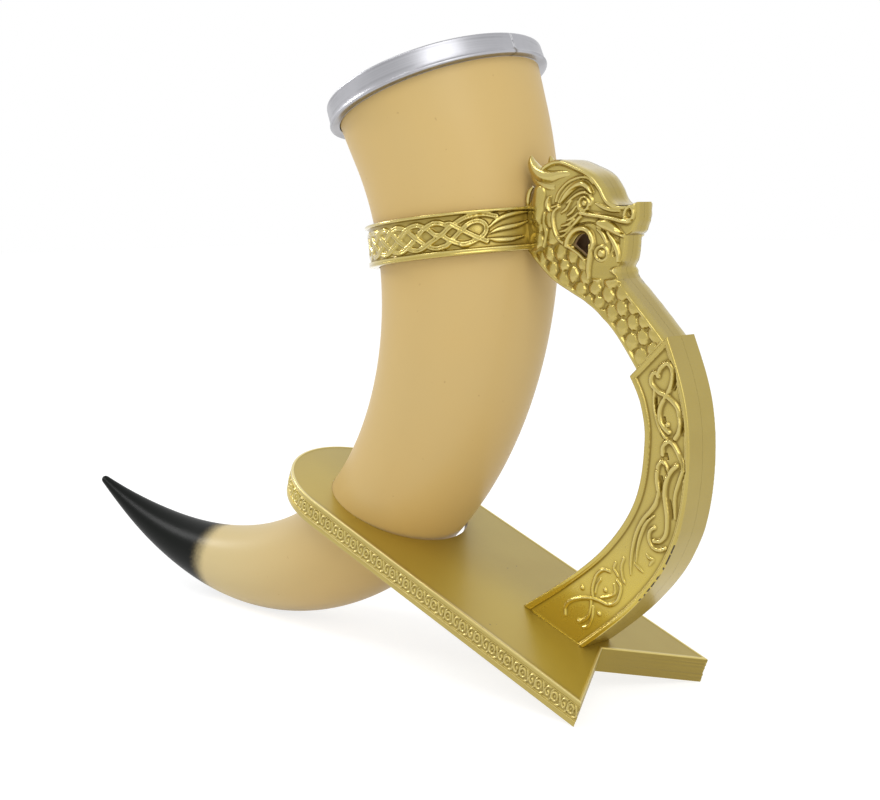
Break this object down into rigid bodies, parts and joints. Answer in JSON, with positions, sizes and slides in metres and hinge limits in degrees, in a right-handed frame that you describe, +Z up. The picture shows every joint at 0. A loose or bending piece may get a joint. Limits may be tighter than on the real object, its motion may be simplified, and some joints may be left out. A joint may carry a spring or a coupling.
{
  "type": "drinking horn",
  "caption": "Curved drinking horn with a banded rim, held by a knotwork collar, a dragon-head handle with a carved grip, and a sloping fishtail stand plate.",
  "frame": {"origin": "on the ground, under the middle of the whole object's box", "axes": "+X toward the handle and away from the horn's tip, +Y across the symmetric object, +Z up as it stands"},
  "size_m": [0.3684, 0.0862, 0.2383],
  "materials": {
    "horn": "satin ivory with a sprayed black tip",
    "rim": "polished silver",
    "gilt": "satin metallic gold paint",
    "screw": "plain"
  },
  "bodies": {
    "root": {"horn_body": "horn", "rim_ring": "rim", "collar_left": "gilt", "collar_right": "gilt", "dragon_left": "gilt", "dragon_right": "gilt", "grip_left": "gilt", "grip_right": "gilt", "stand_plate": "gilt", "foot_screw_front": "screw", "foot_screw_rear": "screw"}
  },
  "joints": []
}
